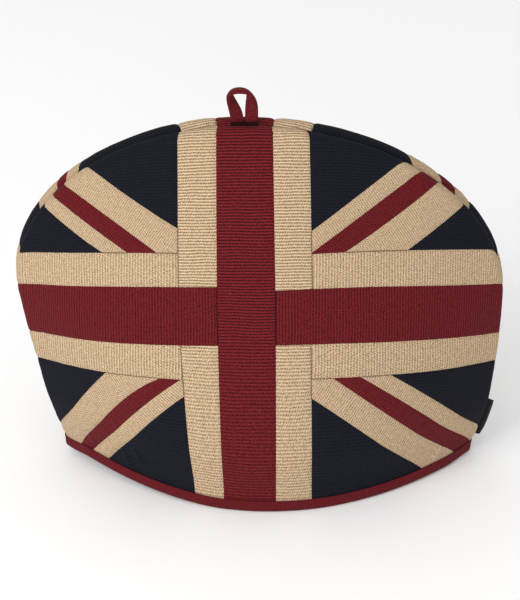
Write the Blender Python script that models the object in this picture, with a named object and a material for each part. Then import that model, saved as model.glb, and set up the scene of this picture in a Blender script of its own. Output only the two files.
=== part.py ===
"""A tea cosy: two padded panels seamed along a dome, a bound hem, a hanging loop and a folded side label.

Metres, +Z up. The cosy stands on the XY plane with its front towards -Y and its width along X.
"""

import math

import bmesh
import bpy
import numpy as np

# The dome seen from the front. Its edge line runs through the middle of the padded shoulder.
CROWN_HEIGHT = 0.2992
LEFT_REACH = 0.1727
RIGHT_REACH = 0.1990
CROWN_X = (LEFT_REACH - RIGHT_REACH) / 2.0
LEFT_WIDEST_HEIGHT = 0.1645
RIGHT_WIDEST_HEIGHT = 0.1525
DOME_POWER = 2.0
LEFT_DRAW_IN = 0.0274
RIGHT_DRAW_IN = 0.0142
LEFT_DRAW_IN_POWER = 1.23
RIGHT_DRAW_IN_POWER = 2.3

# How far the panels stand forward of the seam at the hem, and how that falls off towards the crown.
HEM_DEPTH = 0.0780
PROFILE_POWER = 2.5
LEFT_CORNER_LIFT = 0.0125
RIGHT_CORNER_LIFT = 0.0013
LIFT_START = 0.23
LIFT_POWER = 1.3

# The padded cloth, pinched thin where the binding grips it. The back panel's shoulder is the fuller one, so the
# seam lies a little forward of the cosy's middle.
PAD_THICKNESS = 0.0070
HEM_PAD_THICKNESS = 0.0032
SHOULDER_INSET = 0.0050
FRONT_SHOULDER_DEPTH = 0.0045
BACK_SHOULDER_DEPTH = 0.0068
SEAM_FORWARD = 0.0017
PINCH_BELOW = 0.0113
PINCH_ABOVE = 0.0600
GAP = 0.0003

# The binding, a folded strip whose slot holds the panels' lower edge.
BINDING_HEIGHT = 0.0108
BINDING_CLOTH = 0.0012
BINDING_FLOOR_HALF_WIDTH = 0.0017
BINDING_ROUND = 0.0006
BINDING_ROUND_HEIGHT = 0.0012
BINDING_SWELL = 0.0003
BINDING_SWELL_HEIGHT = 0.0036
HEM_EDGE_HEIGHT = BINDING_CLOTH + 2 * GAP

# The hanging loop, a narrow stitched tape that turns edge-on over its top.
TAPE_WIDTH = 0.0100
TAPE_THICKNESS = 0.0036
TAPE_END_THICKNESS = 0.0022
TAPE_END_RISE = 0.0014
TAPE_CUPPING = 0.22
TAPE_STATIONS = 40
LOOP_X = -0.0110
# Across from the loop's middle, height over the seam, turn from flat in degrees, share of full thickness.
TAPE_ROUTE = (
    (-0.0066, TAPE_END_RISE, 0.0, 0.0),
    (-0.0068, 0.0056, 8.0, 0.6),
    (-0.0078, 0.0112, 22.0, 1.0),
    (-0.0097, 0.0168, 42.0, 1.0),
    (-0.0116, 0.0222, 60.0, 1.0),
    (-0.0119, 0.0265, 75.0, 1.0),
    (-0.0086, 0.0289, 84.0, 0.9),
    (-0.0030, 0.0293, 86.0, 0.9),
    (0.0018, 0.0276, 72.0, 0.9),
    (0.0037, 0.0232, 48.0, 1.0),
    (0.0042, 0.0176, 24.0, 1.0),
    (0.0042, 0.0112, 8.0, 1.0),
    (0.0041, 0.0052, 2.0, 0.6),
    (0.0040, TAPE_END_RISE, 0.0, 0.0),
)

# The side label, a folded ribbon held in the right seam.
LABEL_LOW = 0.0165
LABEL_HIGH = 0.0535
LABEL_CLOTH = 0.0008
LABEL_FOLD_GAP = 0.0004
LABEL_REACH = 0.0085
LABEL_CLEARANCE = 0.0014
LABEL_CURL = 0.0016
LABEL_STATIONS = 7

# Soft places where a wall swells or sinks: name, across, height, spread and push, in metres.
FRONT_SOFT_PLACES = (
    ("lower_left_hollow", -0.120, 0.050, 0.030, -0.0022),
    ("lower_left_swell", -0.070, 0.080, 0.035, 0.0016),
    ("left_flank_swell", -0.150, 0.150, 0.040, 0.0018),
    ("lower_right_hollow", 0.115, 0.060, 0.022, -0.0018),
    ("right_flank_swell", 0.140, 0.120, 0.040, 0.0015),
    ("upper_right_hollow", 0.080, 0.225, 0.030, -0.0012),
)
BACK_SOFT_PLACES = (
    ("lower_left_swell", -0.100, 0.070, 0.035, 0.0018),
    ("middle_hollow", 0.020, 0.130, 0.040, -0.0016),
    ("lower_right_swell", 0.110, 0.060, 0.030, 0.0018),
    ("upper_left_hollow", -0.080, 0.220, 0.030, -0.0014),
)

HEM_COLUMN_HEIGHTS = (HEM_EDGE_HEIGHT, 0.0114, 0.0170, 0.0240, 0.0320)
DOME_START_HEIGHT = 0.0410
DOME_STEPS = 17
FACE_SHARES = (0.0, 0.12, 0.24, 0.36, 0.48, 0.6, 0.71, 0.81, 0.9, 0.96, 1.0)
SHOULDER_STEPS = 5
SLIT_TOP_SHARE = 0.45
SLOPE_STEP = 0.0001
RISE_STEP = 0.002
WELD = 0.00001


def smooth_step(value, low, high):
    """0 below low, 1 above high, and an even S-curve between."""
    share = np.clip((value - low) / (high - low), 0.0, 1.0)
    return share * share * (3.0 - 2.0 * share)


def pinch(z):
    """0 inside the binding, 1 where the padding has its full thickness."""
    return smooth_step(z, PINCH_BELOW, PINCH_ABOVE)


def dome_x(side, z):
    """Where the dome's edge line lies at a height, on the left (side -1) or the right (side 1)."""
    left = side < 0
    reach = np.where(left, LEFT_REACH, RIGHT_REACH)
    widest = np.where(left, LEFT_WIDEST_HEIGHT, RIGHT_WIDEST_HEIGHT)
    draw_in = np.where(left, LEFT_DRAW_IN, RIGHT_DRAW_IN)
    draw_in_power = np.where(left, LEFT_DRAW_IN_POWER, RIGHT_DRAW_IN_POWER)
    held = np.maximum(z, PINCH_BELOW)
    above = np.clip((held - widest) / (CROWN_HEIGHT - widest), 0.0, 1.0)
    below = np.clip((widest - held) / widest, 0.0, 1.0)
    dome = reach * (1.0 - above**DOME_POWER) ** (1.0 / DOME_POWER)
    return CROWN_X + side * (dome - draw_in * below**draw_in_power)


def across_share(x, z):
    """-1 at the dome's left edge line, 1 at its right one."""
    left = dome_x(-1.0, z)
    right = dome_x(1.0, z)
    half_width = np.maximum((right - left) / 2.0, 1e-6)
    return (x - (left + right) / 2.0) / half_width


def core_depth(x, z, shoulder):
    """How far the padding's core lies from the seam at a place in the front view."""
    height_share = np.clip(np.maximum(z, PINCH_BELOW) / CROWN_HEIGHT, 0.0, 1.0)
    bulge = (1.0 - height_share**PROFILE_POWER) * (1.0 - across_share(x, z) ** 2)
    return shoulder * pinch(z) + HEM_DEPTH * bulge


def unit(vectors):
    return vectors / np.maximum(np.linalg.norm(vectors, axis=-1, keepdims=True), 1e-12)


def turn_between(start, end, share):
    """The unit vector a share of the way from one unit vector to another, along the arc."""
    angle = np.arccos(np.clip(np.sum(start * end, axis=-1, keepdims=True), -1.0, 1.0))
    angle = np.maximum(angle, 1e-6)
    share = np.asarray(share)
    return (np.sin((1.0 - share) * angle) * start + np.sin(share * angle) * end) / np.sin(angle)


def face_normal(x, z, shoulder):
    """The front panel's outward normal at its core, level where the binding grips it."""
    here = core_depth(x, z, shoulder)
    left = core_depth(x - SLOPE_STEP, z, shoulder)
    right = core_depth(x + SLOPE_STEP, z, shoulder)
    slope_x = (right - left) / (2.0 * SLOPE_STEP)
    slope_z = (here - core_depth(x, z - SLOPE_STEP, shoulder)) / SLOPE_STEP
    normal = np.stack([-slope_x, -np.ones_like(x), -slope_z * pinch(z)], axis=-1)
    return unit(normal)


def edge_height(rise):
    """The height of a point of the edge line: rise runs 0 to 1 from the hem to the crown."""
    return HEM_EDGE_HEIGHT + (CROWN_HEIGHT - HEM_EDGE_HEIGHT) * np.sin(rise * math.pi / 2.0)


def rise_at(height):
    """The share of the rise at which the edge line reaches a height."""
    share = (np.asarray(height) - HEM_EDGE_HEIGHT) / (CROWN_HEIGHT - HEM_EDGE_HEIGHT)
    return np.arcsin(share) * 2.0 / math.pi


def column_rises():
    """Where the panel's columns meet the edge line, close together by the hem."""
    by_the_hem = [rise_at(height) for height in HEM_COLUMN_HEIGHTS]
    over_the_dome = np.linspace(rise_at(DOME_START_HEIGHT), 1.0, DOME_STEPS + 1)
    return np.array([*by_the_hem, *over_the_dome])


def edge_outward(side, rise):
    """The direction away from the dome, square to its edge line, level inside the binding."""
    higher = edge_height(np.minimum(rise + RISE_STEP, 1.0))
    lower = edge_height(np.maximum(rise - RISE_STEP, 0.0))
    along_x = dome_x(side, higher) - dome_x(side, lower)
    along_z = higher - lower
    outward = np.stack([side * along_z, np.zeros_like(rise), -side * along_x], axis=-1)
    outward[..., 2] *= pinch(edge_height(rise))
    at_crown = rise > 1.0 - 1e-9
    outward[at_crown] = (0.0, 0.0, 1.0)
    return unit(outward)


def corner_lift(x, z):
    """How far the hem's corners stand off the surface, fading out towards the crown."""
    across = across_share(x, np.zeros_like(x))
    height = np.where(across < 0, LEFT_CORNER_LIFT, RIGHT_CORNER_LIFT)
    start = np.clip((np.abs(across) - LIFT_START) / (1.0 - LIFT_START), 0.0, 1.1)
    return height * start**LIFT_POWER * np.clip(1.0 - z / CROWN_HEIGHT, 0.0, 1.0)


def lifted(points):
    """The same points with the hem's corners raised."""
    points = np.array(points, dtype=float)
    points[..., 2] += corner_lift(points[..., 0], points[..., 2])
    return points


def softness(x, z, places):
    """How far the wall is pushed out at a place, by the soft places around it."""
    push = np.zeros_like(x)
    for _name, across, height, spread, reach in places:
        push += reach * np.exp(-((x - across) ** 2 + (z - height) ** 2) / (2.0 * spread**2))
    return push * pinch(z)


def panel_layers(side, rise, places, shoulder_depth):
    """Outer and inner points of one column of the front panel, from its middle out to the seam."""
    z_edge = edge_height(rise)
    outward = edge_outward(side, rise)
    outer = []
    inner = []
    for share in FACE_SHARES:
        z = HEM_EDGE_HEIGHT + (z_edge - HEM_EDGE_HEIGHT) * (share + (1.0 - share) * SLIT_TOP_SHARE)
        middle = (dome_x(-1.0, z) + dome_x(1.0, z)) / 2.0
        x = share * dome_x(side, z_edge) + (1.0 - share) * middle
        normal = face_normal(x, z, shoulder_depth)
        core = np.stack([x, -core_depth(x, z, shoulder_depth), z], axis=-1)
        shoulder = shoulder_depth * pinch(z)
        radius = np.sqrt(SHOULDER_INSET**2 + shoulder**2) + softness(x, z, places) * (1.0 - share**4)
        thickness = HEM_PAD_THICKNESS + (PAD_THICKNESS - HEM_PAD_THICKNESS) * pinch(z)
        outer.append(core + radius[..., None] * normal)
        inner.append(outer[-1] - thickness[..., None] * normal)
    seam_direction = unit(SHOULDER_INSET * outward + shoulder[..., None] * np.array([0.0, 1.0, 0.0]))
    for step in range(1, SHOULDER_STEPS + 1):
        turned = step / SHOULDER_STEPS
        outer.append(core + radius[..., None] * turn_between(normal, seam_direction, turned))
        inner.append(outer[-1] - thickness[..., None] * turn_between(normal, outward, turned))
    return np.stack(outer), np.stack(inner)


def panel_surfaces(places, shoulder_depth):
    """The front panel's outer and inner surfaces: columns run over the dome from hem to hem."""
    rise = column_rises()
    left_outer, left_inner = panel_layers(-np.ones_like(rise), rise, places, shoulder_depth)
    falling = rise[:-1][::-1]
    right_side = np.ones_like(falling)
    right_outer, right_inner = panel_layers(right_side, falling, places, shoulder_depth)
    outer = np.concatenate([left_outer, right_outer], axis=1)
    inner = np.concatenate([left_inner, right_inner], axis=1)
    return outer.transpose(1, 0, 2), inner.transpose(1, 0, 2)


def add_surface(mesh, points):
    """Lays a grid over a rectangular array of points and returns its vertices."""
    columns, rows = points.shape[0] - 1, points.shape[1] - 1
    made = bmesh.ops.create_grid(mesh, x_segments=columns, y_segments=rows, size=0.5)
    for vertex in made["verts"]:
        column = round((vertex.co.x + 0.5) * columns)
        row = round((vertex.co.y + 0.5) * rows)
        vertex.co = points[column, row]
    return made["verts"]


def border_edges(vertices):
    return {edge for vertex in vertices for edge in vertex.link_edges if edge.is_boundary}


def plain_finish(name, colour, roughness):
    """A matt cloth with one colour."""
    finish = bpy.data.materials.new(name)
    finish.use_nodes = True
    shader = finish.node_tree.nodes["Principled BSDF"]
    shader.inputs["Base Color"].default_value = (*colour, 1.0)
    shader.inputs["Roughness"].default_value = roughness
    shader.inputs["Metallic"].default_value = 0.0
    return finish


def finished_object(name, mesh, finish, collection):
    """Closes, turns, places and shades the mesh, and makes it an object of the cosy."""
    bmesh.ops.translate(mesh, verts=mesh.verts, vec=(0.0, -SEAM_FORWARD, 0.0))
    bmesh.ops.recalc_face_normals(mesh, faces=mesh.faces)
    data = bpy.data.meshes.new(name)
    mesh.to_mesh(data)
    mesh.free()
    data.shade_smooth()
    data.set_sharp_from_angle(angle=math.radians(40.0))
    data.materials.append(finish)
    made = bpy.data.objects.new(name, data)
    collection.objects.link(made)
    return made


def make_panel(name, towards, places, shoulder_depth, finish, collection):
    """One padded panel. towards is -1 for the front one and 1 for the back one."""
    mesh = bmesh.new()
    for points in panel_surfaces(places, shoulder_depth):
        placed = lifted(points)
        placed[..., 1] = -towards * (placed[..., 1] - GAP / 2.0)
        vertices = add_surface(mesh, placed)
        bmesh.ops.remove_doubles(mesh, verts=vertices, dist=WELD)
    borders = border_edges(mesh.verts)
    bmesh.ops.bridge_loops(mesh, edges=list(borders))
    return finished_object(name, mesh, finish, collection)


def hem_stations():
    """Places round the hem with the level direction away from it: front, right corner, back, left corner."""
    shares = np.array(FACE_SHARES)
    low = np.full_like(shares, HEM_EDGE_HEIGHT)
    middle = (dome_x(-1.0, low) + dome_x(1.0, low)) / 2.0
    to_left = middle + shares * (dome_x(-1.0, low) - middle)
    to_right = middle + shares * (dome_x(1.0, low) - middle)
    x = np.concatenate([to_left[::-1], to_right[1:]])
    zero = np.full_like(x, HEM_EDGE_HEIGHT)
    depth = core_depth(x, zero, 0.0)
    normal = face_normal(x, zero, 0.0)
    front = [((px, -py), direction[:2]) for px, py, direction in zip(x, depth, normal)]
    back = [((px, -py), direction * (1.0, -1.0)) for (px, py), direction in reversed(front)]
    right_corner = corner_stations(front[-1], back[0], np.array([1.0, 0.0]))
    left_corner = corner_stations(back[-1], front[0], np.array([-1.0, 0.0]))
    return front + right_corner + back + left_corner


def corner_stations(before, after, outward):
    """The turn round one corner of the hem, between the last station before it and the first after."""
    place = before[0]
    shares = [step / SHOULDER_STEPS for step in range(1, SHOULDER_STEPS)]
    first = [(place, turn_between(before[1], outward, share)) for share in shares]
    second = [(place, turn_between(after[1], outward, share)) for share in reversed(shares)]
    return [*first, (place, outward), *second]


def binding_section():
    """The binding's folded section, as distances out from the core and heights, once round."""
    wall_out = SHOULDER_INSET + GAP
    wall_in = SHOULDER_INSET - HEM_PAD_THICKNESS - GAP
    middle = (wall_out + wall_in) / 2.0
    half = (wall_out - wall_in) / 2.0 + BINDING_CLOTH
    top = BINDING_HEIGHT
    slot = HEM_EDGE_HEIGHT - GAP
    return (
        (wall_out, top),
        (middle + half, top),
        (middle + half + BINDING_SWELL, BINDING_SWELL_HEIGHT),
        (middle + half - BINDING_ROUND, BINDING_ROUND_HEIGHT),
        (middle + BINDING_FLOOR_HALF_WIDTH, 0.0),
        (middle - BINDING_FLOOR_HALF_WIDTH, 0.0),
        (middle - half + BINDING_ROUND, BINDING_ROUND_HEIGHT),
        (middle - half - BINDING_SWELL, BINDING_SWELL_HEIGHT),
        (middle - half, top),
        (wall_in, top),
        (wall_in, slot),
        (wall_out, slot),
    )


def make_binding(finish, collection):
    """The folded strip round the hem, which the cosy stands on."""
    section = binding_section()
    rows = []
    for (x, y), direction in hem_stations():
        rows.append([(x + out * direction[0], y + out * direction[1], z) for out, z in section])
    points = lifted(np.array(rows))
    points = np.concatenate([points, points[:1]], axis=0)
    points = np.concatenate([points, points[:, :1]], axis=1)
    mesh = bmesh.new()
    vertices = add_surface(mesh, points)
    bmesh.ops.remove_doubles(mesh, verts=vertices, dist=WELD)
    return finished_object("hem_binding", mesh, finish, collection)


def seam_height():
    """The height of the top seam, in the valley between the two shoulders."""
    return CROWN_HEIGHT + SHOULDER_INSET


def loop_points():
    """The loop's surface: the tape's section, carried along its route and turned as the route says."""
    along = np.linspace(0.0, len(TAPE_ROUTE) - 1.0, TAPE_STATIONS)
    smooth = np.stack([smooth_curve(column, along) for column in np.array(TAPE_ROUTE).T], axis=-1)
    zero = np.zeros(TAPE_STATIONS)
    centre = np.stack([LOOP_X + smooth[:, 0], zero, seam_height() + smooth[:, 1]], axis=-1)
    tangent = unit(np.gradient(centre, axis=0))
    tangent[0] = tangent[-1] * (1.0, 1.0, -1.0)
    level = np.array([0.0, 1.0, 0.0])
    in_plane = unit(np.cross(level, tangent))
    turn = np.radians(smooth[:, 2])[:, None]
    wide = np.cos(turn) * in_plane + np.sin(turn) * level
    thin = np.cross(tangent, wide)
    half_wide = TAPE_WIDTH / 2.0 * (1.0 - TAPE_CUPPING * np.sin(turn) ** 2)
    grown = np.clip(smooth[:, 3], 0.0, 1.0)[:, None]
    half_thick = (TAPE_END_THICKNESS + (TAPE_THICKNESS - TAPE_END_THICKNESS) * grown) / 2.0
    rim = []
    for across, over in tape_section():
        rim.append(centre + across * half_wide * wide + over * half_thick * thin)
    return np.stack(rim + rim[:1], axis=1)


def make_loop(finish, collection):
    """The hanging loop: a tape that leaves the top seam flat, turns edge-on over its top and comes back flat."""
    mesh = bmesh.new()
    vertices = add_surface(mesh, loop_points())
    bmesh.ops.remove_doubles(mesh, verts=vertices, dist=WELD)
    bmesh.ops.holes_fill(mesh, edges=list(border_edges(mesh.verts)), sides=0)
    return finished_object("hanging_loop", mesh, finish, collection)


def smooth_curve(values, along):
    """A smooth curve through evenly spaced values, read at fractional places along them."""
    start = np.clip(np.floor(along).astype(int), 0, len(values) - 2)
    share = along - start
    before = values[np.maximum(start - 1, 0)]
    first = values[start]
    second = values[start + 1]
    after = values[np.minimum(start + 2, len(values) - 1)]
    linear = (second - before) / 2.0
    square = before - 2.5 * first + 2.0 * second - after / 2.0
    cube = (after - before) / 2.0 + 1.5 * (first - second)
    return first + share * (linear + share * (square + share * cube))


def tape_section():
    """The tape's section with rounded edges, as shares of its half width and half thickness."""
    side = ((0.80, -1.0), (0.96, -0.6), (1.0, 0.0), (0.96, 0.6), (0.80, 1.0))
    other = [(-across, -over) for across, over in side]
    return [*side, *other]


def make_label(finish, collection):
    """The folded ribbon that sticks out of the right seam, its fold outwards."""
    half = LABEL_CLOTH + LABEL_FOLD_GAP / 2.0
    slot = LABEL_FOLD_GAP / 2.0
    fold = LABEL_REACH - LABEL_CLOTH
    section = (
        (0.0, -half),
        (fold, -half),
        (LABEL_REACH, -half / 2.0),
        (LABEL_REACH, half / 2.0),
        (fold, half),
        (0.0, half),
        (0.0, slot),
        (fold, slot),
        (fold, -slot),
        (0.0, -slot),
    )
    rows = []
    for height in np.linspace(LABEL_LOW, LABEL_HIGH, LABEL_STATIONS):
        outward = edge_outward(np.ones(1), np.array([rise_at(height)]))[0]
        start = np.array([dome_x(1.0, np.array(height)), 0.0, height])
        start = start + outward * (SHOULDER_INSET + LABEL_CLEARANCE)
        curl = LABEL_CURL * ((height - LABEL_LOW) / (LABEL_HIGH - LABEL_LOW)) ** 2
        row = []
        for out, over in section:
            bend = curl * (out / LABEL_REACH) ** 2
            row.append(start + out * outward + np.array([0.0, over - bend, 0.0]))
        rows.append(row)
    points = lifted(np.array(rows))
    points = np.concatenate([points, points[:, :1]], axis=1)
    mesh = bmesh.new()
    vertices = add_surface(mesh, points)
    bmesh.ops.remove_doubles(mesh, verts=vertices, dist=WELD)
    bmesh.ops.holes_fill(mesh, edges=list(border_edges(mesh.verts)), sides=0)
    return finished_object("side_label", mesh, finish, collection)


def main():
    for old in list(bpy.data.objects):
        bpy.data.objects.remove(old, do_unlink=True)
    cosy = bpy.data.collections.new("tea_cosy")
    bpy.context.scene.collection.children.link(cosy)
    front_cloth = plain_finish("front_cloth", (0.62, 0.47, 0.29), 0.9)
    back_cloth = plain_finish("back_cloth", (0.55, 0.42, 0.27), 0.9)
    binding_cloth = plain_finish("binding_cloth", (0.19, 0.015, 0.025), 0.85)
    loop_cloth = plain_finish("loop_cloth", (0.21, 0.016, 0.028), 0.8)
    label_cloth = plain_finish("label_cloth", (0.010, 0.012, 0.022), 0.7)
    make_panel("front_panel", -1, FRONT_SOFT_PLACES, FRONT_SHOULDER_DEPTH, front_cloth, cosy)
    make_panel("back_panel", 1, BACK_SOFT_PLACES, BACK_SHOULDER_DEPTH, back_cloth, cosy)
    make_binding(binding_cloth, cosy)
    make_loop(loop_cloth, cosy)
    make_label(label_cloth, cosy)


main()
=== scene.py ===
# %% [markdown]
# # A patchwork tea cosy
#
# This file dresses a tea cosy in cloth: a padded dome of two panels, pieced from ribbed cotton as a flag,
# with a bound hem, a tape loop and a ribbon label. The solid model gives the form. Painted seams would have
# no depth, so each panel is made as a sewer makes it: laid flat, cut along its seams, coloured, padded, and
# drawn over the form.

# %% Load the solid model
import math

import bpy
import numpy as np
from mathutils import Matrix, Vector, noise
from mathutils.kdtree import KDTree


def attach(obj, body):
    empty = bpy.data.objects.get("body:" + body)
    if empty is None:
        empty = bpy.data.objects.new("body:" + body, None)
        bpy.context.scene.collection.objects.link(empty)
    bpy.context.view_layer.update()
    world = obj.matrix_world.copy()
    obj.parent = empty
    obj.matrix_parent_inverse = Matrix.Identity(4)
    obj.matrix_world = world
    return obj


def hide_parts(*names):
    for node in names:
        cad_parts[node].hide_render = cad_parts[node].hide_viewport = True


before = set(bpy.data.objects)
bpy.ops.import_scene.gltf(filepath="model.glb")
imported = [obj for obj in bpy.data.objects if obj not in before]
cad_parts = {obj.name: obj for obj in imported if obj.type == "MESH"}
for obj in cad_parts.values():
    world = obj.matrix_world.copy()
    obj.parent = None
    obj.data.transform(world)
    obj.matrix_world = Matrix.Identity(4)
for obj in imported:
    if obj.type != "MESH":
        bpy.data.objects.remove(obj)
bpy.ops.object.select_all(action="DESELECT")
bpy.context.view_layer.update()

# %% [markdown]
# ## The form under the cloth
#
# The solid model was made with the same few formulas, so the cloth lies on it, but for a few millimetres at
# the hem's corners. Points could be read from the solid instead, but a formula also tells the cloth which
# way is out, and stays smooth however finely the cloth is cut.

# %% Sizes of the dome, in metres. A pair is for its left side and its right one.
CROWN_HEIGHT = 0.2992
REACH = (0.1727, 0.1990)
CROWN_X = (REACH[0] - REACH[1]) / 2.0
WIDEST_HEIGHT = (0.1645, 0.1525)
DOME_POWER = 2.0
DRAW_IN = (0.0274, 0.0142)
DRAW_IN_POWER = (1.23, 2.3)
HEM_DEPTH = 0.0780
PROFILE_POWER = 2.5
CORNER_LIFT = (0.0125, 0.0013)
LIFT_START = 0.23
LIFT_POWER = 1.3
LIFT_LIMIT = 1.1
# Next to the side seams the binding tucks the hem in: the span across, and the one in height.
TUCK_ACROSS = (0.88, 1.02)
TUCK_FADE = (0.005, 0.022)
CORNER_TUCK = (0.0032, -0.0034)
CORNER_DROP = (0.0056, 0.0)
PAD_THICKNESS = 0.0070
HEM_PAD_THICKNESS = 0.0032
SHOULDER_INSET = 0.0050
FRONT_SHOULDER_DEPTH = 0.0045
BACK_SHOULDER_DEPTH = 0.0068
SEAM_FORWARD = 0.0017
PINCH_BELOW = 0.0113
PINCH_ABOVE = 0.0600
SEAM_OVERLAP = 0.0003
HEM_EDGE_HEIGHT = 0.0018

# Soft places where a panel swells or sinks: name, across, height, spread and push.
FRONT_SOFT_PLACES = (
    ("lower_left_hollow", -0.120, 0.050, 0.030, -0.0022),
    ("lower_left_swell", -0.070, 0.080, 0.035, 0.0016),
    ("left_flank_swell", -0.150, 0.150, 0.040, 0.0018),
    ("lower_right_hollow", 0.115, 0.060, 0.022, -0.0018),
    ("right_flank_swell", 0.140, 0.120, 0.040, 0.0015),
    ("upper_right_hollow", 0.080, 0.225, 0.030, -0.0012),
)
BACK_SOFT_PLACES = (
    ("lower_left_swell", -0.100, 0.070, 0.035, 0.0018),
    ("middle_hollow", 0.020, 0.130, 0.040, -0.0016),
    ("lower_right_swell", 0.110, 0.060, 0.030, 0.0018),
    ("upper_left_hollow", -0.080, 0.220, 0.030, -0.0014),
)


# %% The dome's formulas
def smooth_step(value, low, high):
    """0 below low, 1 above high, and an even S-curve between."""
    share = np.clip((value - low) / (high - low), 0.0, 1.0)
    return share * share * (3.0 - 2.0 * share)


def pinch(z):
    """0 inside the binding, 1 where the padding has its full thickness."""
    return smooth_step(z, PINCH_BELOW, PINCH_ABOVE)


def dome_x(side, z):
    """Where the edge line lies at a height, on the left (side -1) or the right (side 1)."""
    pairs = (REACH, WIDEST_HEIGHT, DRAW_IN, DRAW_IN_POWER)
    reach, widest, draw_in, draw_in_power = (np.where(side < 0, *pair) for pair in pairs)
    held = np.maximum(z, PINCH_BELOW)
    above = np.clip((held - widest) / (CROWN_HEIGHT - widest), 0.0, 1.0)
    below = np.clip((widest - held) / widest, 0.0, 1.0)
    dome = reach * (1.0 - above**DOME_POWER) ** (1.0 / DOME_POWER)
    return CROWN_X + side * (dome - draw_in * below**draw_in_power)


def across_share(x, z):
    """-1 at the dome's left edge line, 1 at its right one."""
    left = dome_x(-1.0, z)
    right = dome_x(1.0, z)
    return (x - (left + right) / 2.0) / np.maximum((right - left) / 2.0, 1e-6)


def hem_share(x):
    return across_share(x, np.zeros_like(x))


def core_depth(x, z, shoulder):
    """How far the padding's core lies from the seam, at a place in the front view."""
    height_share = np.clip(np.maximum(z, PINCH_BELOW) / CROWN_HEIGHT, 0.0, 1.0)
    bulge = (1.0 - height_share**PROFILE_POWER) * (1.0 - across_share(x, z) ** 2)
    return shoulder * pinch(z) + HEM_DEPTH * bulge


def columns(*parts):
    return np.stack(parts, axis=-1)


def unit(vectors):
    return vectors / np.maximum(np.linalg.norm(vectors, axis=-1, keepdims=True), 1e-12)


def turn_between(start, end, share):
    """A unit vector a share of the way from one to another, along the arc."""
    angle = np.arccos(np.clip(np.sum(start * end, axis=-1, keepdims=True), -1.0, 1.0))
    angle = np.maximum(angle, 1e-6)
    return (np.sin((1.0 - share) * angle) * start + np.sin(share * angle) * end) / np.sin(angle)


def face_normal(x, z, shoulder):
    """The front panel's outward normal, level where the binding grips it."""
    step = 0.0001
    slope_x = (core_depth(x + step, z, shoulder) - core_depth(x - step, z, shoulder)) / (2.0 * step)
    slope_z = (core_depth(x, z, shoulder) - core_depth(x, z - step, shoulder)) / step
    return unit(columns(-slope_x, -np.ones_like(x), -slope_z * pinch(z)))


def corner_lift(x, z):
    """How far the hem's corners stand off the floor, fading towards the crown."""
    across = hem_share(x)
    height = np.where(across < 0, *CORNER_LIFT)
    start = np.clip((np.abs(across) - LIFT_START) / (1.0 - LIFT_START), 0.0, LIFT_LIMIT)
    return height * start**LIFT_POWER * np.clip(1.0 - z / CROWN_HEIGHT, 0.0, 1.0)


def lifted(points):
    """The points with the hem's corners raised and drawn in."""
    points = np.array(points, dtype=float)
    x, z = points[..., 0].copy(), points[..., 2].copy()
    across = hem_share(x)
    near = smooth_step(np.abs(across), *TUCK_ACROSS) * (1.0 - smooth_step(z, *TUCK_FADE))
    points[..., 0] += near * np.where(across < 0, *CORNER_TUCK)
    points[..., 2] += corner_lift(x, z) - near * np.where(across < 0, *CORNER_DROP)
    return points


def softness(x, z, places):
    """How far the soft places push the padding out."""
    push = np.zeros_like(x)
    for _name, across, height, spread, reach in places:
        push += reach * np.exp(-((x - across) ** 2 + (z - height) ** 2) / (2.0 * spread**2))
    return push * pinch(z)


print("crown over the seam line", CROWN_HEIGHT, "m")

# %% [markdown]
# ## The edge line and the shoulder
#
# Beyond the edge line the cloth turns over a round shoulder and down into the seam. Laid flat, that turn is
# a margin along the edge, as wide as the turn is long.

# %% The edge line, sampled from the left hem over the crown to the right hem
EDGE_SAMPLES = 700
FINE_RISE = 0.002


def edge_height(rise):
    return HEM_EDGE_HEIGHT + (CROWN_HEIGHT - HEM_EDGE_HEIGHT) * np.sin(rise * math.pi / 2.0)


def edge_outward(side, rise):
    """Away from the dome, square to its edge line, and level inside the binding."""
    higher = edge_height(np.minimum(rise + FINE_RISE, 1.0))
    lower = edge_height(np.maximum(rise - FINE_RISE, 0.0))
    along_x = dome_x(side, higher) - dome_x(side, lower)
    outward = columns(side * (higher - lower), np.zeros_like(rise), -side * along_x)
    outward[..., 2] *= pinch(edge_height(rise))
    outward[rise > 1.0 - 1e-9] = (0.0, 0.0, 1.0)
    return unit(outward)


def shoulder_radius(z, shoulder):
    return np.sqrt(SHOULDER_INSET**2 + (shoulder * pinch(z)) ** 2)


def seam_direction(outward, z, shoulder):
    """The way from the core to the seam between the panels."""
    back = np.array([0.0, 1.0, 0.0]) * (shoulder * pinch(z))[..., None]
    return unit(SHOULDER_INSET * outward + back)


rise_up = np.linspace(0.0, 1.0, EDGE_SAMPLES)
edge_side = np.concatenate([-np.ones(EDGE_SAMPLES), np.ones(EDGE_SAMPLES - 1)])
edge_rise = np.concatenate([rise_up, rise_up[:-1][::-1]])
edge_z = edge_height(edge_rise)
edge_x = dome_x(edge_side, edge_z)
edge_out = edge_outward(edge_side, edge_rise)
edge_line = columns(edge_x, edge_z)


def flat_margin(shoulder):
    """How wide the flat margin is at each edge sample."""
    normal = face_normal(edge_x, edge_z, shoulder)
    seam_way = seam_direction(edge_out, edge_z, shoulder)
    angle = np.arccos(np.clip(np.sum(normal * seam_way, axis=-1), -1.0, 1.0))
    return shoulder_radius(edge_z, shoulder) * angle


print("the front's flat margin is", flat_margin(FRONT_SHOULDER_DEPTH).max().round(4), "m wide at most")

# %% [markdown]
# ## The flag, drawn flat
#
# A red strip runs from hem to crown. On each side lie a red bar, beige strips beside the strip and the bar,
# and two corners with four slanting seams each. On the cosy the bars droop at the sides, because the cloth
# wraps a dome. In the flat drawing they are straight, and the droop is put back when the cloth is drawn over
# the form. A straight seam is given by two points, so that its table reads as a pattern does. A slanting one
# also bows, as the cloth draws in at the hem.

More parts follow.
